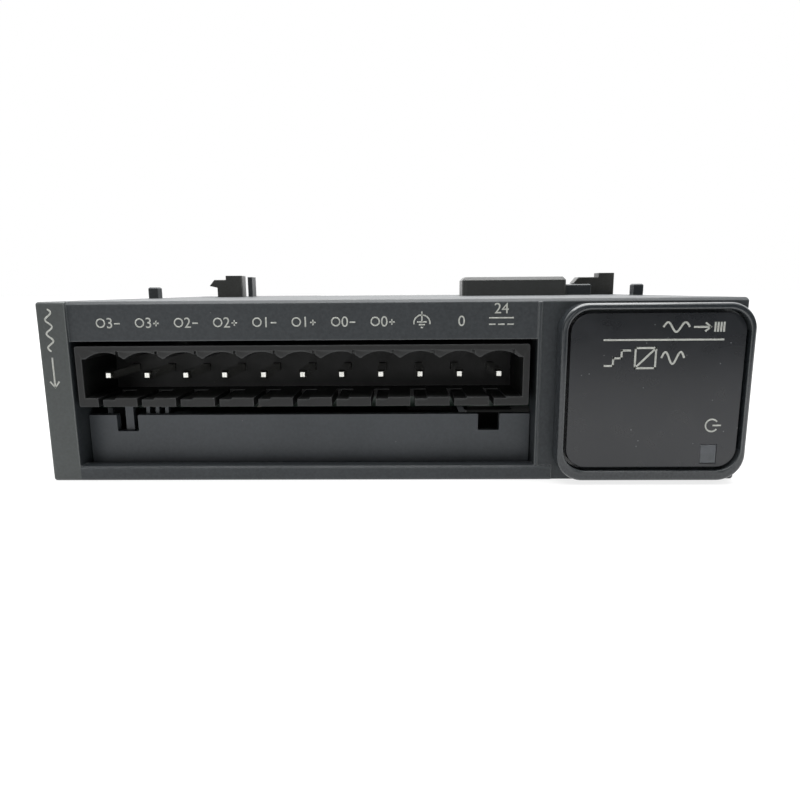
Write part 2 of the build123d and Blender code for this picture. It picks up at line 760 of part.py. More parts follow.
def build():
    nodes = {
        "front_cover": front_cover(),
        "rear_case": rear_case(),
        "left_cover": left_cover(),
        "bay_panel": bay_panel(),
        "window_bezel": window_bezel(),
        "window_plate": window_plate(),
        "led_lens": led_lens(),
        "light_guide": light_guide(),
        "power_led": power_led(),
        "terminal_header": terminal_header(),
        "header_contacts": header_contacts(),
        "main_board": main_board(),
        "bus_plug_shroud": bus_plug_shroud(),
        "bus_plug_contacts": bus_plug_contacts(),
        "bus_socket_body": bus_socket_body(),
        "bus_socket_contacts": bus_socket_contacts(),
        "lock_slider": lock_slider(),
        "din_clip": din_clip(),
        "rating_label": rating_label(),
        "dc_transformer": dc_transformer(),
        "input_capacitors": input_capacitors(),
        "power_inductor": chip(inductor_place, inductor_size),
        "converter_chip": chip(converter_place, converter_size),
        "controller_chip": chip(controller_place, controller_size),
        "output_amplifiers": chip_row(4, amplifier_place, amplifier_pitch, amplifier_size),
        "digital_isolators": chip_row(2, isolator_place, isolator_pitch, isolator_size, underside=True),
        "input_fuse": chip(fuse_place, fuse_size),
        "surge_diodes": chip_row(8, diode_place, pole_pitch, diode_size),
        "regulator_chip": chip(regulator_place, regulator_size),
        "crystal": chip(crystal_place, crystal_size),
        "chip_resistors": chip_row(12, resistor_place, resistor_pitch, resistor_size, underside=True),
    }
    os.makedirs("parts", exist_ok=True)
    for name, shape in nodes.items():
        export_step(shape, f"parts/{name}.step")


build()
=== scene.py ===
import json
import math
import bmesh
import bpy
from mathutils import Matrix, Vector

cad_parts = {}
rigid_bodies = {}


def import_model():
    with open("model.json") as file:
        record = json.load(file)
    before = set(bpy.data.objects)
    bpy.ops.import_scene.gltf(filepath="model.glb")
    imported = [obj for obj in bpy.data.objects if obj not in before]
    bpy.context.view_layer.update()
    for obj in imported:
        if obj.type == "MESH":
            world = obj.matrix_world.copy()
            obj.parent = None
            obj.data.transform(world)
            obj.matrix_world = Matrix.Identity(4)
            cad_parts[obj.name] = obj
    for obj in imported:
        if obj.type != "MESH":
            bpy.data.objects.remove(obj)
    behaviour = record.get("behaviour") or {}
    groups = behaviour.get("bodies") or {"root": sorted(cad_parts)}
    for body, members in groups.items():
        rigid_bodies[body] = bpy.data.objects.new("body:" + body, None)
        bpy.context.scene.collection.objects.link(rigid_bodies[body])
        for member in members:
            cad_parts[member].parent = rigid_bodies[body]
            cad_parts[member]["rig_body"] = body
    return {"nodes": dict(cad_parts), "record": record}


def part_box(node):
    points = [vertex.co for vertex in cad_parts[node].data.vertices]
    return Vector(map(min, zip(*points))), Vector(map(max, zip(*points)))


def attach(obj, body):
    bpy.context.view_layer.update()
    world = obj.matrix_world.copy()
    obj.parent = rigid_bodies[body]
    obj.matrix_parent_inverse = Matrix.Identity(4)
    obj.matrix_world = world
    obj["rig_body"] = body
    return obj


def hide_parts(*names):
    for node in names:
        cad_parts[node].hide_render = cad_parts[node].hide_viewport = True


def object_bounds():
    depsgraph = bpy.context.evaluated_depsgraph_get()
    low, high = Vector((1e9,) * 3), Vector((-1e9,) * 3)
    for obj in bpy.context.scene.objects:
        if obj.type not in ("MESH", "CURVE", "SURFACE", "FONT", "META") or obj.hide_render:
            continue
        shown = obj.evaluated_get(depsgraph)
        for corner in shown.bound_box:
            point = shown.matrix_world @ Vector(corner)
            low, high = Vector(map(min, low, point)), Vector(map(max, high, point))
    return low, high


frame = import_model()
cad_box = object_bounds()
slot_of = {part["node"]: part["material_slot"] for part in frame["record"]["subparts"]}

# Looks of an expansion module for a modular controller. It lies on its right side: -Y is its
# front, +X its window end, and +Z the left side, with the bus plug and the lock hooks.

MM = 0.001

# ---- camera ----
LENS = 27.2                      # on a sensor 36 wide
CAMERA_BEFORE_FRONT = 74.55 * MM
CAMERA_HEIGHT = 24.76 * MM
CAMERA_ASIDE = 2.0 * MM
CAMERA_PITCH = math.radians(10.32)
CAMERA_YAW = math.radians(-0.98)
CAMERA_ROLL = math.radians(-0.424)
CAMERA_SHIFT = 0.0059

# ---- moulded edges ----
WELD = 0.0005 * MM
SHARP_CORNER = math.radians(28)
ROUND_STEPS = 2

# ---- studio ----
FLOOR_HALF = 3.0
FLOOR_FRONT = -0.15
LIGHTS = (                       # name, place, where it points, width, watts
    ("top_light", (0.0, 0.05, 0.6), (0, 0, 0), 0.6, 6.5),
    ("front_light", (0.03, -0.5, 0.1), (0, 0, 0.01), 0.12, 0.1),
    ("left_light", (-0.14, -0.27, 0.06), (-0.03, 0, 0.012), 0.12, 0.08),
)
BRIGHT_SIDE = (0.0, 0.68, 0.73)  # above and behind the module
WORLD_LOW = 0.06
WORLD_HIGH = 2.2

# ---- print ----
INK_THICKNESS = 0.03 * MM
INK_SUNK = 0.01 * MM
HEADER_SIDE_GAP = 0.65 * MM      # from the end strip to the terminal header
LABEL_SET_BACK = 0.4 * MM        # the label band behind the end strip
LABEL_BELOW_TOP = 2.75 * MM
LABEL_PITCH = 5.02 * MM
LABEL_AFTER_CONTACT = 0.71 * MM
DIGIT_HEIGHT = 1.38 * MM
OUTPUT_TERMINALS = 8
OUTPUT_RING = 0.52 * MM
END_LINE = 0.22 * MM
WINDOW_LINE = 0.24 * MM
POWER_LINE = 0.19 * MM
BAR_WIDTH = 0.55 * MM
THIN_LINE = 0.17 * MM


# ---------------------------------------------------------------- node patterns
def shade(red, green, blue):
    """A linear colour from its values on a 0 to 255 scale, as a paint chart gives them."""
    def linear(value):
        value /= 255
        return value / 12.92 if value <= 0.04045 else ((value + 0.055) / 1.055) ** 2.4
    return (linear(red), linear(green), linear(blue), 1.0)


def add(tree, kind, inputs=(), **settings):
    """A new node; an input is set to a value, or is fed by another node's output."""
    made = tree.nodes.new(kind)
    for name, value in settings.items():
        setattr(made, name, value)
    for name, value in dict(inputs).items():
        if isinstance(value, bpy.types.NodeSocket):
            tree.links.new(value, made.inputs[name])
        else:
            made.inputs[name].default_value = value
    return made


def new_finish(name, **values):
    """A material, its node tree, its shader, and the object's own coordinates."""
    finish = bpy.data.materials.new(name)
    finish.use_nodes = True
    tree = finish.node_tree
    shader = tree.nodes["Principled BSDF"]
    for socket, value in values.items():
        shader.inputs[socket.replace("_", " ")].default_value = value
    return finish, tree, shader, tree.nodes.new("ShaderNodeTexCoord").outputs["Object"]


def mottle(tree, at, size, low=0.0, high=1.0, detail=2.0):
    """Soft patches of about the given size, from low to high."""
    noise = add(tree, "ShaderNodeTexNoise", {"Vector": at, "Scale": 1 / size, "Detail": detail})
    spread = {"Value": noise.outputs["Fac"], "From Min": 0.3, "From Max": 0.7,
              "To Min": low, "To Max": high}
    return add(tree, "ShaderNodeMapRange", spread).outputs["Result"]


def mix_colour(tree, share, first, second):
    """One colour turning into another by a share from 0 to 1."""
    made = tree.nodes.new("ShaderNodeMix")
    made.data_type = "RGBA"
    for index, value in ((0, share), (6, first), (7, second)):
        if isinstance(value, bpy.types.NodeSocket):
            tree.links.new(value, made.inputs[index])
        else:
            made.inputs[index].default_value = value
    return made.outputs[2]


def grain(tree, at, size, depth, strength=1.0, detail=1.0):
    """The fine texture of a mould, as a bumped normal."""
    noise = add(tree, "ShaderNodeTexNoise", {"Vector": at, "Scale": 1 / size, "Detail": detail})
    bump = {"Height": noise.outputs["Fac"], "Strength": strength, "Distance": depth}
    return add(tree, "ShaderNodeBump", bump).outputs["Normal"]


def specks(tree, at, spacing, radius, share=0.5):
    """Scattered dust: 1 inside a speck and 0 elsewhere; only a share of the places has one."""
    cells = add(tree, "ShaderNodeTexVoronoi", {"Vector": at, "Scale": 1 / spacing})
    inside = {0: cells.outputs["Distance"], 1: radius / spacing}
    near = add(tree, "ShaderNodeMath", inside, operation="LESS_THAN").outputs[0]
    parts = add(tree, "ShaderNodeSeparateColor", {"Color": cells.outputs["Color"]})
    picked = add(tree, "ShaderNodeMath", {0: parts.outputs["Red"], 1: share}, operation="LESS_THAN")
    both = {0: near, 1: picked.outputs[0]}
    return add(tree, "ShaderNodeMath", both, operation="MULTIPLY").outputs[0]


def edge_wear_and_highlight(tree, radius, amount):
    """From 0 on a flat to about amount on an edge: worn edges, and a painted highlight along every edge.
    """
    rounded = add(tree, "ShaderNodeBevel", {"Radius": radius}, samples=4).outputs["Normal"]
    true = tree.nodes.new("ShaderNodeNewGeometry").outputs["True Normal"]
    same = add(tree, "ShaderNodeVectorMath", {0: rounded, 1: true}, operation="DOT_PRODUCT")
    spread = {"Value": same.outputs["Value"], "From Min": 1.0, "From Max": 0.9,
              "To Min": 0.0, "To Max": amount}
    return add(tree, "ShaderNodeMapRange", spread).outputs["Result"]


# ---------------------------------------------------------------- finishes
def moulded(name, dark, light, roughness, grain_size, grain_depth, wear_and_highlight=0.3, dust=0.15, polish=0.0,
            fleck=shade(86, 91, 95)):
    """Textured moulded plastic: uneven tone, a fine grain, paler edges (wear and a painted edge
    highlight) and a little dust.
    """
    finish, tree, shader, at = new_finish(name, Specular_IOR_Level=0.42, Coat_Weight=polish,
                                          Coat_Roughness=0.12)
    tone = mix_colour(tree, mottle(tree, at, 9 * MM), dark, light)
    fine = mix_colour(tree, mottle(tree, at, 0.35 * MM, 0.0, 0.16), tone, fleck)
    # Every edge mixed towards pale grey: wear, and a painted highlight along each edge.
    pale = mix_colour(tree, edge_wear_and_highlight(tree, 0.25 * MM, wear_and_highlight), fine, shade(142, 146, 146))
    flecks = specks(tree, at, 2.6 * MM, 0.07 * MM, share=0.35)
    dusty = add(tree, "ShaderNodeMath", {0: flecks, 1: dust}, operation="MULTIPLY")
    colour = mix_colour(tree, dusty.outputs[0], pale, shade(190, 190, 184))
    tree.links.new(colour, shader.inputs["Base Color"])
    spread = mottle(tree, at, 4 * MM, roughness - 0.02, roughness + 0.03)
    tree.links.new(spread, shader.inputs["Roughness"])
    tree.links.new(grain(tree, at, grain_size, grain_depth), shader.inputs["Normal"])
    return finish


CASE_LOOK = (shade(41, 45, 48), shade(44, 48, 51), 0.5, 0.16 * MM, 0.01 * MM)


def case_plastic():
    return moulded("case_plastic", *CASE_LOOK)


def cover_plastic():
    """The case's plastic, with its end strip beside the terminals mixed a little towards a pale grey."""
    finish = moulded("cover_plastic", *CASE_LOOK, wear_and_highlight=0.4)
    tree = finish.node_tree
    shader = tree.nodes["Principled BSDF"]
    at = tree.nodes["Texture Coordinate"].outputs["Object"]
    strip_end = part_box("terminal_header")[0].x - HEADER_SIDE_GAP
    strip_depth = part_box("front_cover")[0].y + 0.3 * MM
    place = add(tree, "ShaderNodeSeparateXYZ", {"Vector": at}).outputs
    beside = add(tree, "ShaderNodeMath", {0: place["X"], 1: strip_end}, operation="LESS_THAN")
    in_front = add(tree, "ShaderNodeMath", {0: place["Y"], 1: strip_depth}, operation="LESS_THAN")
    on_strip = add(tree, "ShaderNodeMath", {0: beside.outputs[0], 1: in_front.outputs[0]},
                   operation="MULTIPLY")
    # The strip is mixed 0.11 of the way towards pale grey.
    share = add(tree, "ShaderNodeMath", {0: on_strip.outputs[0], 1: 0.11}, operation="MULTIPLY")
    below = shader.inputs["Base Color"].links[0].from_socket
    tree.links.new(mix_colour(tree, share.outputs[0], below, shade(150, 155, 146)),
                   shader.inputs["Base Color"])
    return finish


def panel_plastic():
    return moulded("panel_plastic", shade(60, 64, 68), shade(66, 70, 74), 0.44,
                   0.22 * MM, 0.006 * MM, wear_and_highlight=0.12)


def bezel_plastic():
    return moulded("bezel_plastic", shade(31, 35, 38), shade(36, 40, 43), 0.22,
                   0.25 * MM, 0.003 * MM, wear_and_highlight=0.3, polish=0.4)


def header_plastic():
    return moulded("header_plastic", shade(12, 13, 13), shade(16, 17, 17), 0.5,
                   0.12 * MM, 0.008 * MM, wear_and_highlight=0.12, fleck=shade(30, 31, 31))


def slider_plastic():
    return moulded("slider_plastic", shade(46, 46, 43), shade(53, 53, 49), 0.42,
                   0.18 * MM, 0.008 * MM, wear_and_highlight=0.1)


def connector_plastic():
    return moulded("connector_plastic", shade(64, 65, 63), shade(72, 73, 71), 0.46,
                   0.14 * MM, 0.006 * MM, wear_and_highlight=0.15)


def window_gloss():
    """Dark polished plate with a faint haze, hairline scratches and settled dust."""
    finish, tree, shader, at = new_finish("window_gloss", Specular_IOR_Level=0.5, Coat_Weight=0.2,
                                          Coat_Roughness=0.2)
    tone = mix_colour(tree, mottle(tree, at, 6 * MM), shade(21, 24, 28), shade(25, 28, 33))
    fine = specks(tree, at, 1.3 * MM, 0.08 * MM, share=0.5)
    large = specks(tree, at, 3.1 * MM, 0.13 * MM, share=0.5)
    both = add(tree, "ShaderNodeMath", {0: fine, 1: large}, operation="MAXIMUM").outputs[0]
    shown = add(tree, "ShaderNodeMath", {0: both, 1: 0.3}, operation="MULTIPLY").outputs[0]
    tree.links.new(mix_colour(tree, shown, tone, shade(165, 168, 170)), shader.inputs["Base Color"])
    haze = mottle(tree, at, 3 * MM, 0.26, 0.33)
    dull = add(tree, "ShaderNodeMath", {0: haze, 1: shown}, operation="ADD", use_clamp=True)
    tree.links.new(dull.outputs[0], shader.inputs["Roughness"])
    tree.links.new(grain(tree, at, 1.1 * MM, 0.002 * MM), shader.inputs["Normal"])
    return finish


def lens_smoke():
    """Smoked diffuser in front of the light guide."""
    finish, tree, shader, at = new_finish("lens_smoke", Specular_IOR_Level=0.5,
                                          Transmission_Weight=0.25, IOR=1.49)
    tone = mix_colour(tree, mottle(tree, at, 0.9 * MM), shade(84, 88, 92), shade(98, 102, 106))
    tree.links.new(tone, shader.inputs["Base Color"])
    tree.links.new(mottle(tree, at, 0.5 * MM, 0.34, 0.5), shader.inputs["Roughness"])
    tree.links.new(grain(tree, at, 0.3 * MM, 0.02 * MM), shader.inputs["Normal"])
    return finish


def clear_plastic():
    finish, tree, shader, at = new_finish("clear_plastic", Transmission_Weight=0.9, IOR=1.49)
    tone = mix_colour(tree, mottle(tree, at, 2 * MM), shade(226, 232, 232), shade(238, 242, 242))
    tree.links.new(tone, shader.inputs["Base Color"])
    tree.links.new(mottle(tree, at, 1 * MM, 0.05, 0.14), shader.inputs["Roughness"])
    return finish


def led_body():
    finish, tree, shader, at = new_finish("led_body", Subsurface_Weight=0.15,
                                          Subsurface_Scale=0.4 * MM)
    tone = mix_colour(tree, mottle(tree, at, 0.6 * MM), shade(214, 217, 205), shade(232, 234, 224))
    tree.links.new(tone, shader.inputs["Base Color"])
    tree.links.new(mottle(tree, at, 0.4 * MM, 0.25, 0.4), shader.inputs["Roughness"])
    return finish


def metal(name, first, second, low, high, patch, scratch_depth):
    """Plated or drawn metal with uneven tone and gloss."""
    finish, tree, shader, at = new_finish(name, Metallic=1.0)
    tone = mix_colour(tree, mottle(tree, at, patch), first, second)
    tree.links.new(tone, shader.inputs["Base Color"])
    tree.links.new(mottle(tree, at, patch / 2, low, high), shader.inputs["Roughness"])
    tree.links.new(grain(tree, at, patch / 4, scratch_depth), shader.inputs["Normal"])
    return finish


def tinned_pin():
    return metal("tinned_pin", shade(226, 226, 218), shade(244, 244, 240),
                 0.14, 0.24, 0.5 * MM, 0.003 * MM)


def plated_contact():
    return metal("plated_contact", shade(214, 170, 92), shade(236, 198, 120),
                 0.2, 0.34, 0.4 * MM, 0.002 * MM)


def crystal_can():
    return metal("crystal_can", shade(178, 180, 182), shade(204, 206, 208),
                 0.22, 0.36, 1.2 * MM, 0.002 * MM)


def capacitor_can():
    return metal("capacitor_can", shade(190, 192, 194), shade(214, 216, 218),
                 0.25, 0.4, 1.5 * MM, 0.003 * MM)


def circuit_board():
    """Green solder mask over copper tracks, with tinned pads; the green is kept very dark, painted shade
    over the board's own colour.
    """
    finish, tree, shader, at = new_finish("circuit_board", Coat_Weight=0.2, Coat_Roughness=0.15)
    # Very dark greens: the board's green solder mask darkened by painted shade.
    grid = {"Vector": at, "Scale": 1 / (2.2 * MM), "Mortar Size": 0.09, "Brick Width": 1.7,
            "Row Height": 0.5, "Color1": shade(11, 46, 31), "Color2": shade(14, 52, 36),
            "Mortar": shade(32, 78, 48)}
    tracks = add(tree, "ShaderNodeTexBrick", grid).outputs["Color"]
    pads = specks(tree, at, 1.9 * MM, 0.32 * MM, share=0.4)
    tree.links.new(mix_colour(tree, pads, tracks, shade(196, 194, 184)), shader.inputs["Base Color"])
    tree.links.new(mottle(tree, at, 3 * MM, 0.3, 0.42), shader.inputs["Roughness"])
    tree.links.new(grain(tree, at, 0.5 * MM, 0.01 * MM), shader.inputs["Normal"])
    return finish


def matt(name, dark, light, low, high, patch, depth):
    """An unpolished inner part: uneven tone and gloss over a fine grain."""
    finish, tree, shader, at = new_finish(name)
    tone = mix_colour(tree, mottle(tree, at, patch), dark, light)
    tree.links.new(tone, shader.inputs["Base Color"])
    tree.links.new(mottle(tree, at, patch / 2, low, high), shader.inputs["Roughness"])
    tree.links.new(grain(tree, at, patch / 5, depth), shader.inputs["Normal"])
    return finish


def label_paper():
    return matt("label_paper", shade(206, 208, 208), shade(222, 224, 222), 0.4, 0.52, 6 * MM, 0.004 * MM)


def ferrite():
    return matt("ferrite", shade(38, 38, 40), shade(54, 53, 54), 0.6, 0.75, 1.6 * MM, 0.03 * MM)


def chip_black():
    return matt("chip_black", shade(26, 26, 27), shade(34, 34, 35), 0.48, 0.6, 1.2 * MM, 0.012 * MM)


def fuse_white():
    return matt("fuse_white", shade(218, 214, 202), shade(234, 230, 220), 0.3, 0.42, 1.4 * MM, 0.006 * MM)


def printed(name, thin, full):
    """Printed ink, a little thin in places."""
    finish, tree, shader, at = new_finish(name, Specular_IOR_Level=0.3)
    worn = mottle(tree, at, 0.28 * MM, 0.0, 1.0, detail=3.0)
    tree.links.new(mix_colour(tree, worn, thin, full), shader.inputs["Base Color"])
    tree.links.new(mottle(tree, at, 0.4 * MM, 0.5, 0.65), shader.inputs["Roughness"])
    return finish


def pale_ink():
    return printed("pale_ink", shade(164, 166, 160), shade(196, 198, 192))


def dark_ink():
    return printed("dark_ink", shade(58, 58, 60), shade(34, 34, 36))


def paint(node, finish):
    """Gives every slot of a piece's mesh the same finish."""
    slots = node.data.materials
    if not slots:
        slots.append(finish)
    for index in range(len(slots)):
        slots[index] = finish


# ---------------------------------------------------------------- eased mouldings
def merged_copy(node):
    """A CAD piece's loose triangles joined into a closed mesh, smooth but for its sharp edges."""
    work = bmesh.new()
    work.from_mesh(frame["nodes"][node].data)
    bmesh.ops.remove_doubles(work, verts=work.verts, dist=WELD)
    mesh = bpy.data.meshes.new(node + "_merged")
    work.to_mesh(mesh)
    work.free()
    for face in mesh.polygons:
        face.use_smooth = True
    mesh.set_sharp_from_angle(angle=SHARP_CORNER)
    return mesh


def baked(piece, name):
    """A plain mesh object made from a piece and its live modifiers, which is then removed."""
    view = bpy.context.evaluated_depsgraph_get()
    mesh = bpy.data.meshes.new_from_object(piece.evaluated_get(view), depsgraph=view)
    mesh.name = name
    bpy.data.objects.remove(piece)
    finished = bpy.data.objects.new(name, mesh)
    bpy.context.scene.collection.objects.link(finished)
    return finished


def eased(node, width, finish):
    """A CAD piece with its sharp edges rounded over, as a mould leaves them."""
    piece = bpy.data.objects.new(node + "_work", merged_copy(node))
    bpy.context.scene.collection.objects.link(piece)
    bevel = piece.modifiers.new("round", "BEVEL")
    bevel.width = width
    bevel.segments = ROUND_STEPS
    bevel.limit_method = "ANGLE"
    bevel.angle_limit = SHARP_CORNER
    bevel.use_clamp_overlap = False
    bevel.miter_outer = "MITER_ARC"
    level = piece.modifiers.new("level", "WEIGHTED_NORMAL")
    level.keep_sharp = True
    level.weight = 80
    done = baked(piece, node + "_moulded")
    low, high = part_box(node)
    for corner in done.data.vertices:
        corner.co = [min(max(corner.co[i], low[i]), high[i]) for i in range(3)]
    paint(done, finish)
    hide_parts(node)
    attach(done, frame["nodes"][node]["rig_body"])
    return done


# ---------------------------------------------------------------- print
def stroke_tree():
    """Geometry nodes that turn flat lines into strips of ink."""
    tree = bpy.data.node_groups.new("printed_strokes", "GeometryNodeTree")
    face = tree.interface
    face.new_socket("Lines", in_out="INPUT", socket_type="NodeSocketGeometry")
    face.new_socket("Line width", in_out="INPUT", socket_type="NodeSocketFloat")
    face.new_socket("Ink thickness", in_out="INPUT", socket_type="NodeSocketFloat")
    face.new_socket("Ink", in_out="INPUT", socket_type="NodeSocketMaterial")
    face.new_socket("Strips", in_out="OUTPUT", socket_type="NodeSocketGeometry")
    start = tree.nodes.new("NodeGroupInput").outputs
    end = tree.nodes.new("NodeGroupOutput").inputs
    section = add(tree, "GeometryNodeCurvePrimitiveQuadrilateral",
                  {"Width": start["Line width"], "Height": start["Ink thickness"]})
    strip = add(tree, "GeometryNodeCurveToMesh",
                {"Curve": start["Lines"], "Profile Curve": section.outputs["Curve"],
                 "Fill Caps": True})
    real = add(tree, "GeometryNodeRealizeInstances", {"Geometry": strip.outputs["Mesh"]})
    inked = add(tree, "GeometryNodeSetMaterial",
                {"Geometry": real.outputs["Geometry"], "Material": start["Ink"]})
    tree.links.new(inked.outputs["Geometry"], end["Strips"])
    return tree


def set_inputs(modifier, values):
    """Sets a geometry tree's named inputs by the sockets' identifiers."""
    for item in modifier.node_group.interface.items_tree:
        if item.in_out == "INPUT" and item.name in values:
            modifier[item.identifier] = values[item.name]


def strokes(lines, width, name, ink_finish):
    """Flat lines of ink in the X and Y plane; each line is a list of points, and closed if it
    ends where it starts."""
    curve = bpy.data.curves.new(name, "CURVE")
    curve.dimensions = "3D"
    curve.twist_mode = "Z_UP"
    for points in lines:
        closed = (Vector(points[0]) - Vector(points[-1])).length < width / 100
        points = points[:-1] if closed else points
        spline = curve.splines.new("POLY")
        spline.points.add(len(points) - 1)
        for point, (u, v) in zip(spline.points, points):
            point.co = (u, v, 0.0, 1.0)
        spline.use_cyclic_u = closed
    piece = bpy.data.objects.new(name, curve)
    bpy.context.scene.collection.objects.link(piece)
    modifier = piece.modifiers.new("ink", "NODES")
    modifier.node_group = ink_tree
    set_inputs(modifier, {"Line width": width, "Ink thickness": INK_THICKNESS, "Ink": ink_finish})
    return baked(piece, name)


def figure(text, height, centre, ink_finish):
    """A number as raised ink in the X and Y plane, about its centre."""
    body = bpy.data.curves.new("figure", "FONT")
    body.body = text
    body.size = height * 1.37
    body.extrude = INK_THICKNESS / 2
    body.resolution_u = 4
    piece = bpy.data.objects.new("figure", body)
    bpy.context.scene.collection.objects.link(piece)
    done = baked(piece, "figure")
    spread = [v.co for v in done.data.vertices]
    middle = [(min(p[i] for p in spread) + max(p[i] for p in spread)) / 2 for i in (0, 1)]
    done.data.transform(Matrix.Translation((centre[0] - middle[0], centre[1] - middle[1], 0)))
    done.data.materials.clear()
    paint(done, ink_finish)
    return done


def joined(pieces, name):
    """Several mesh objects made into one."""
    work = bmesh.new()
    for piece in pieces:
        work.from_mesh(piece.data)
    mesh = bpy.data.meshes.new(name)
    work.to_mesh(mesh)
    work.free()
    mesh.materials.append(pieces[0].data.materials[0])
    for piece in pieces:
        bpy.data.objects.remove(piece)
    done = bpy.data.objects.new(name, mesh)
    bpy.context.scene.collection.objects.link(done)
    return done


def printed_on_front(pieces, name, front_y):
    """Lays flat print, drawn in X and Y as X and Z, on a face that looks along -Y."""
    done = joined(pieces, name)
    upright = Matrix.Rotation(math.pi / 2, 4, "X")
    lift = front_y - INK_THICKNESS / 2 + INK_SUNK
    done.data.transform(Matrix.Translation((0, lift, 0)) @ upright)
    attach(done, "housing")
    return done


def ring(centre, radius, steps=24, first=0.0, last=360.0):
    """Points round a circle, or along part of it, in degrees from +X."""
    points = []
    for i in range(steps + 1):
        angle = math.radians(first + (last - first) * i / steps)
        points.append((centre[0] + radius * math.cos(angle), centre[1] + radius * math.sin(angle)))
    return points


def wave(start, length, height, periods, steps=14):
    """A sine wave along X from its start."""
    count = round(periods * steps)
    return [(start[0] + length * i / count,
             start[1] + height / 2 * math.sin(2 * math.pi * periods * i / count))
            for i in range(count + 1)]


def arrow(tail, head, barb):
    """An arrow of two lines."""
    run = (Vector(head) - Vector(tail)).normalized()
    side = Vector((-run.y, run.x))
    back = Vector(head) - run * barb
    return [[tail, head], [tuple(back + side * barb * 0.75), head, tuple(back - side * barb * 0.75)]]


def turned(lines, quarter):
    """The same lines turned about the origin by a number of quarter turns."""
    turn = Matrix.Rotation(quarter * math.pi / 2, 2)
    return [[tuple(turn @ Vector(p)) for p in points] for points in lines]


def moved(lines, by):
    return [[(u + by[0], v + by[1]) for u, v in points] for points in lines]


def turned_about(lines, centre, quarter):
    back = (-centre[0], -centre[1])
    return moved(turned(moved(lines, back), quarter), centre)


def square_cornered(points, width):
    """A line as separate runs, each a little longer, so that its corners are filled."""
    runs = []
    for start, end in zip(points, points[1:]):
        reach = (Vector(end) - Vector(start)).normalized() * width * 0.49
        runs.append([tuple(Vector(start) - reach), tuple(Vector(end) + reach)])
    return runs


def terminal_marks(ink_finish):
    """A ring, a number and a sign over each output, then earth, zero and the supply."""
    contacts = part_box("header_contacts")
    first = contacts[0].x + 0.5 * MM + LABEL_AFTER_CONTACT
    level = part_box("front_cover")[1].z - LABEL_BELOW_TOP
    lines, figures = [], []
    for i in range(OUTPUT_TERMINALS):
        x = first + i * LABEL_PITCH
        ring_x, figure_x, sign_x = x - 0.9 * MM, x + 0.25 * MM, x + 1.22 * MM
        lines.append(ring((ring_x, level), OUTPUT_RING))
        figures.append(figure(str(3 - i // 2), DIGIT_HEIGHT, (figure_x, level), ink_finish))
        arm = 0.36 * MM
        sign_y = level - 0.08 * MM
        lines.append([(sign_x - arm, sign_y), (sign_x + arm, sign_y)])
        if i % 2:
            lines.append([(sign_x, sign_y - arm), (sign_x, sign_y + arm)])
    earth_x, zero_x, supply_x = (first + (OUTPUT_TERMINALS + i) * LABEL_PITCH for i in range(3))
    lines += earth_symbol((earth_x, level))
    figures.append(figure("0", DIGIT_HEIGHT, (zero_x, level), ink_finish))
    figures.append(figure("24", DIGIT_HEIGHT, (supply_x, level + 1.57 * MM), ink_finish))
    lines += supply_symbol((supply_x, level), 3.1 * MM)
    marks = strokes(lines, THIN_LINE, "marks", ink_finish)
    printed_on_front([marks] + figures, "terminal_print", label_face_y)


def earth_symbol(centre):
    """Functional earth: a stem and three bars under an arch."""
    x, y = centre
    low = y - 0.85 * MM
    lines = [[(x, y + 1.2 * MM), (x, low + 0.75 * MM)]]
    for rise, half in ((0.75, 0.62), (0.4, 0.38), (0.05, 0.16)):
        level = low + rise * MM
        lines.append([(x - half * MM, level), (x + half * MM, level)])
    lines.append(ring((x, low + 0.6 * MM), 1.02 * MM, first=-8, last=188))
    return lines


def supply_symbol(centre, length):
    """Direct current: a solid line over three dashes."""
    x, y = centre
    solid, dashed = y + 0.36 * MM, y - 0.45 * MM
    lines = [[(x - length / 2, solid), (x + length / 2, solid)]]
    for i in range(3):
        dash = x + (i - 1) * length * 0.37
        lines.append([(dash - length * 0.13, dashed), (dash + length * 0.13, dashed)])
    return lines


def end_strip_marks(ink_finish):
    """A wave and an arrow down the plain strip: the module drives its outputs."""
    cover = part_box("front_cover")
    lines = [wave((0, 0), 5.4 * MM, 0.8 * MM, 3.0)]
    lines += arrow((6.2 * MM, 0), (10.1 * MM, 0), 0.8 * MM)
    lines = moved(turned(lines, -1), (cover[0].x + 1.6 * MM, cover[1].z - 0.9 * MM))
    marks = strokes(lines, END_LINE, "marks", ink_finish)
    printed_on_front([marks], "end_strip_print", cover[0].y)


def window_marks(ink_finish):
    """A rule across the window, what the module does above and below it, and the power sign."""
    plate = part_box("window_plate")
    right, top = plate[1].x, plate[1].z
    rule_y = top - 3.3 * MM
    rule_line = [(right - 17.4 * MM, rule_y), (right - 2.7 * MM, rule_y)]
    rule = strokes([rule_line], END_LINE, "rule", ink_finish)
    head_y = rule_y + 1.55 * MM
    bold = [wave((right - 10.2 * MM, head_y), 3.2 * MM, 1.2 * MM, 1.5)]
    bold += arrow((right - 6.5 * MM, head_y), (right - 4.4 * MM, head_y), 0.7 * MM)
    for i in range(4):
        x = right - 3.9 * MM + i * 0.36 * MM
        bold.append([(x, head_y - 0.6 * MM), (x, head_y + 0.6 * MM)])
    title = strokes(bold, WINDOW_LINE, "title", ink_finish)
    corner = (right - 17.1 * MM, rule_y - 3.5 * MM)
    converter = strokes(converter_symbol(corner, WINDOW_LINE), WINDOW_LINE, "converter", ink_finish)
    power_x, power_y = right - 3.3 * MM, plate[0].z + 5.4 * MM
    power = [ring((power_x, power_y), 0.78 * MM, first=128, last=412),
             [(power_x, power_y + 0.1 * MM), (power_x, power_y + 1.15 * MM)]]
    sign = strokes(turned_about(power, (power_x, power_y), -1), POWER_LINE, "power", ink_finish)
    printed_on_front([rule, title, converter, sign], "window_print", plate[0].y)


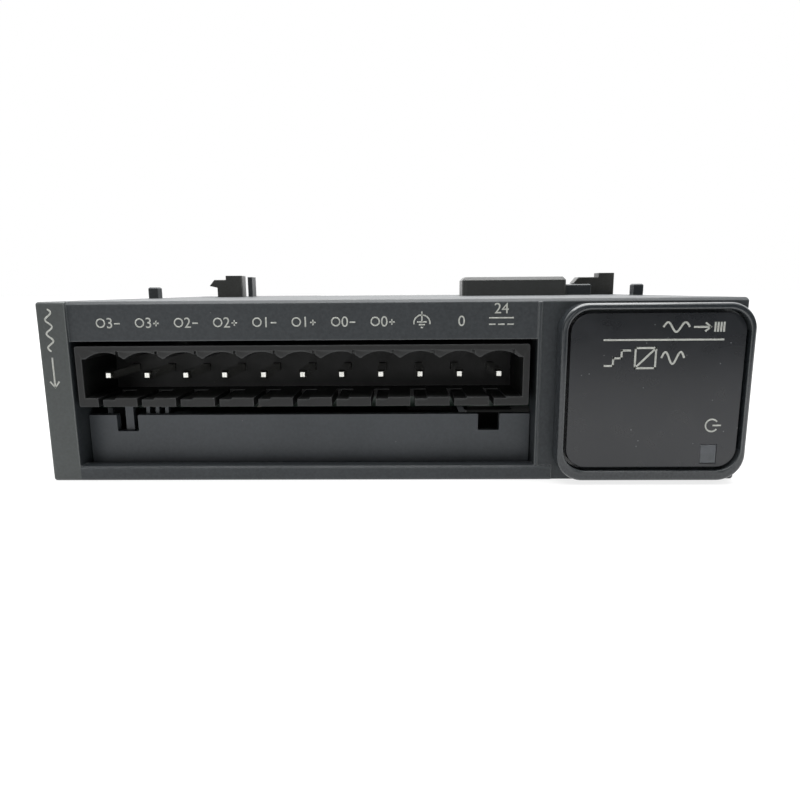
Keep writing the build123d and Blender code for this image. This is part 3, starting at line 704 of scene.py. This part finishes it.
def rating_marks(ink_finish):
    """A border, a rule and rows of plain bars on the label under the module."""
    low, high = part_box("rating_label")
    inset, bar_pitch = 0.8 * MM, 1.5 * MM
    left, right = low.x + inset, high.x - inset
    bottom, top = low.y + inset, high.y - inset
    middle = left + (right - left) * 0.56
    border = [(left, bottom), (right, bottom), (right, top), (left, top), (left, bottom)]
    thin = square_cornered(border, THIN_LINE)
    thin.append([(middle, bottom), (middle, top)])
    bars = []
    for row in range(7):
        level = bottom + (row + 1) * bar_pitch
        bars.append([(left + 1.2 * MM, level), (left + (9 + 5 * (row % 3)) * MM, level)])
        bars.append([(middle + 1.2 * MM, level), (middle + (14 + 3 * (row % 2)) * MM, level)])
    pieces = [strokes(thin, THIN_LINE, "rating_border", ink_finish),
              strokes(bars, BAR_WIDTH, "rating_bars", ink_finish)]
    done = joined(pieces, "rating_print")
    done.data.transform(Matrix.Translation((0, 0, low.z - INK_THICKNESS / 2 + INK_SUNK)))
    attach(done, "housing")


def converter_symbol(corner, width):
    """A digital to analogue converter as a block diagram: steps, a box with a diagonal, a wave."""
    x, y = corner
    box, run, rise = 2.5 * MM, 1.0 * MM, 0.95 * MM
    left = x + 3 * run + 0.7 * MM
    steps = []
    for i in range(3):
        level = y + 0.3 * MM + i * rise
        steps += [(x + i * run, level), (x + (i + 1) * run, level)]
    corners = [(left, y), (left + box, y), (left + box, y + box), (left, y + box), (left, y)]
    lines = square_cornered(steps, width) + square_cornered(corners, width)
    lines.append([(left, y), (left + box, y + box)])
    lines.append(wave((left + box + 0.7 * MM, y + box / 2), 2.8 * MM, 1.5 * MM, 1.5))
    return lines


# ---------------------------------------------------------------- studio
def studio():
    """A pale floor, a soft light above, weaker ones in front and to the left, white all round."""
    floor_mesh = bpy.data.meshes.new("floor")
    half, front = FLOOR_HALF, FLOOR_FRONT
    floor_mesh.from_pydata([(-half, front, 0), (half, front, 0), (half, half, 0), (-half, half, 0)],
                           [], [(0, 1, 2, 3)])
    floor = bpy.data.objects.new("floor", floor_mesh)
    bpy.context.scene.collection.objects.link(floor)
    finish, tree, shader, at = new_finish("floor", Roughness=0.9, Specular_IOR_Level=0.1,
                                          Emission_Strength=0.8)
    dark, light = (0.22, 0.22, 0.22, 1), (0.24, 0.24, 0.24, 1)
    tree.links.new(mix_colour(tree, mottle(tree, at, 0.4), dark, light), shader.inputs["Base Color"])
    shader.inputs["Emission Color"].default_value = (1, 1, 1, 1)
    floor_mesh.materials.append(finish)

    for values in LIGHTS:
        soft_light(*values)

    world = bpy.data.worlds.new("studio")
    bpy.context.scene.world = world
    world.use_nodes = True
    tree = world.node_tree
    way = tree.nodes.new("ShaderNodeTexCoord").outputs["Generated"]
    behind = add(tree, "ShaderNodeVectorMath", {0: way, 1: BRIGHT_SIDE}, operation="DOT_PRODUCT")
    dim = {"Value": behind.outputs["Value"], "From Min": 0.1, "From Max": 0.8,
           "To Min": WORLD_LOW, "To Max": WORLD_HIGH}
    lit = add(tree, "ShaderNodeMapRange", dim).outputs["Result"]
    seen = tree.nodes.new("ShaderNodeLightPath").outputs["Is Camera Ray"]
    strength = tree.nodes.new("ShaderNodeMix")
    for index, value in ((0, seen), (2, lit)):
        tree.links.new(value, strength.inputs[index])
    strength.inputs[3].default_value = 1.0
    tree.links.new(strength.outputs[0], tree.nodes["Background"].inputs["Strength"])
    tree.nodes["Background"].inputs["Color"].default_value = (1, 1, 1, 1)
    bpy.context.scene.view_settings.view_transform = "Standard"


def soft_light(name, place, target, size, watts):
    light = bpy.data.lights.new(name, "AREA")
    light.size = size
    light.energy = watts
    lamp = bpy.data.objects.new(name, light)
    lamp.location = place
    aim = Vector(target) - Vector(place)
    lamp.rotation_euler = aim.to_track_quat("-Z", "Y").to_euler()
    bpy.context.scene.collection.objects.link(lamp)


def camera():
    """Low in front of the module, a little above it."""
    lens = bpy.data.cameras.new("camera")
    lens.lens = LENS
    lens.shift_x = CAMERA_SHIFT
    lens.clip_start = 0.005
    view = bpy.data.objects.new("camera", lens)
    turn = (Matrix.Rotation(-CAMERA_YAW, 4, "Z") @ Matrix.Rotation(math.pi / 2 - CAMERA_PITCH, 4, "X")
            @ Matrix.Rotation(CAMERA_ROLL, 4, "Z"))
    middle = (cad_box[0].x + cad_box[1].x) / 2
    place = (middle + CAMERA_ASIDE, cad_box[0].y - CAMERA_BEFORE_FRONT, cad_box[0].z + CAMERA_HEIGHT)
    view.matrix_world = Matrix.Translation(place) @ turn
    bpy.context.scene.collection.objects.link(view)
    bpy.context.scene.camera = view


# ---------------------------------------------------------------- the module
finishes = {make.__name__: make() for make in (
    case_plastic, cover_plastic, panel_plastic, bezel_plastic, header_plastic, slider_plastic,
    connector_plastic, window_gloss, lens_smoke, clear_plastic, led_body, tinned_pin,
    plated_contact, crystal_can, capacitor_can, circuit_board, label_paper, ferrite, chip_black,
    fuse_white, pale_ink, dark_ink)}

for node, slot in slot_of.items():
    paint(frame["nodes"][node], finishes[slot])

EASED = {
    "front_cover": (0.06, "cover_plastic"), "rear_case": (0.04, "case_plastic"),
    "left_cover": (0.06, "case_plastic"), "bay_panel": (0.08, "panel_plastic"),
    "window_bezel": (0.1, "bezel_plastic"), "window_plate": (0.05, "window_gloss"),
    "terminal_header": (0.06, "header_plastic"), "lock_slider": (0.12, "slider_plastic"),
    "bus_plug_shroud": (0.05, "connector_plastic"), "din_clip": (0.05, "slider_plastic"),
}
for node, (width, finish) in EASED.items():
    eased(node, width * MM, finishes[finish])

ink_tree = stroke_tree()
label_face_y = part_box("front_cover")[0].y + LABEL_SET_BACK
terminal_marks(finishes["pale_ink"])
end_strip_marks(finishes["pale_ink"])
window_marks(finishes["pale_ink"])
rating_marks(finishes["dark_ink"])

studio()
camera()
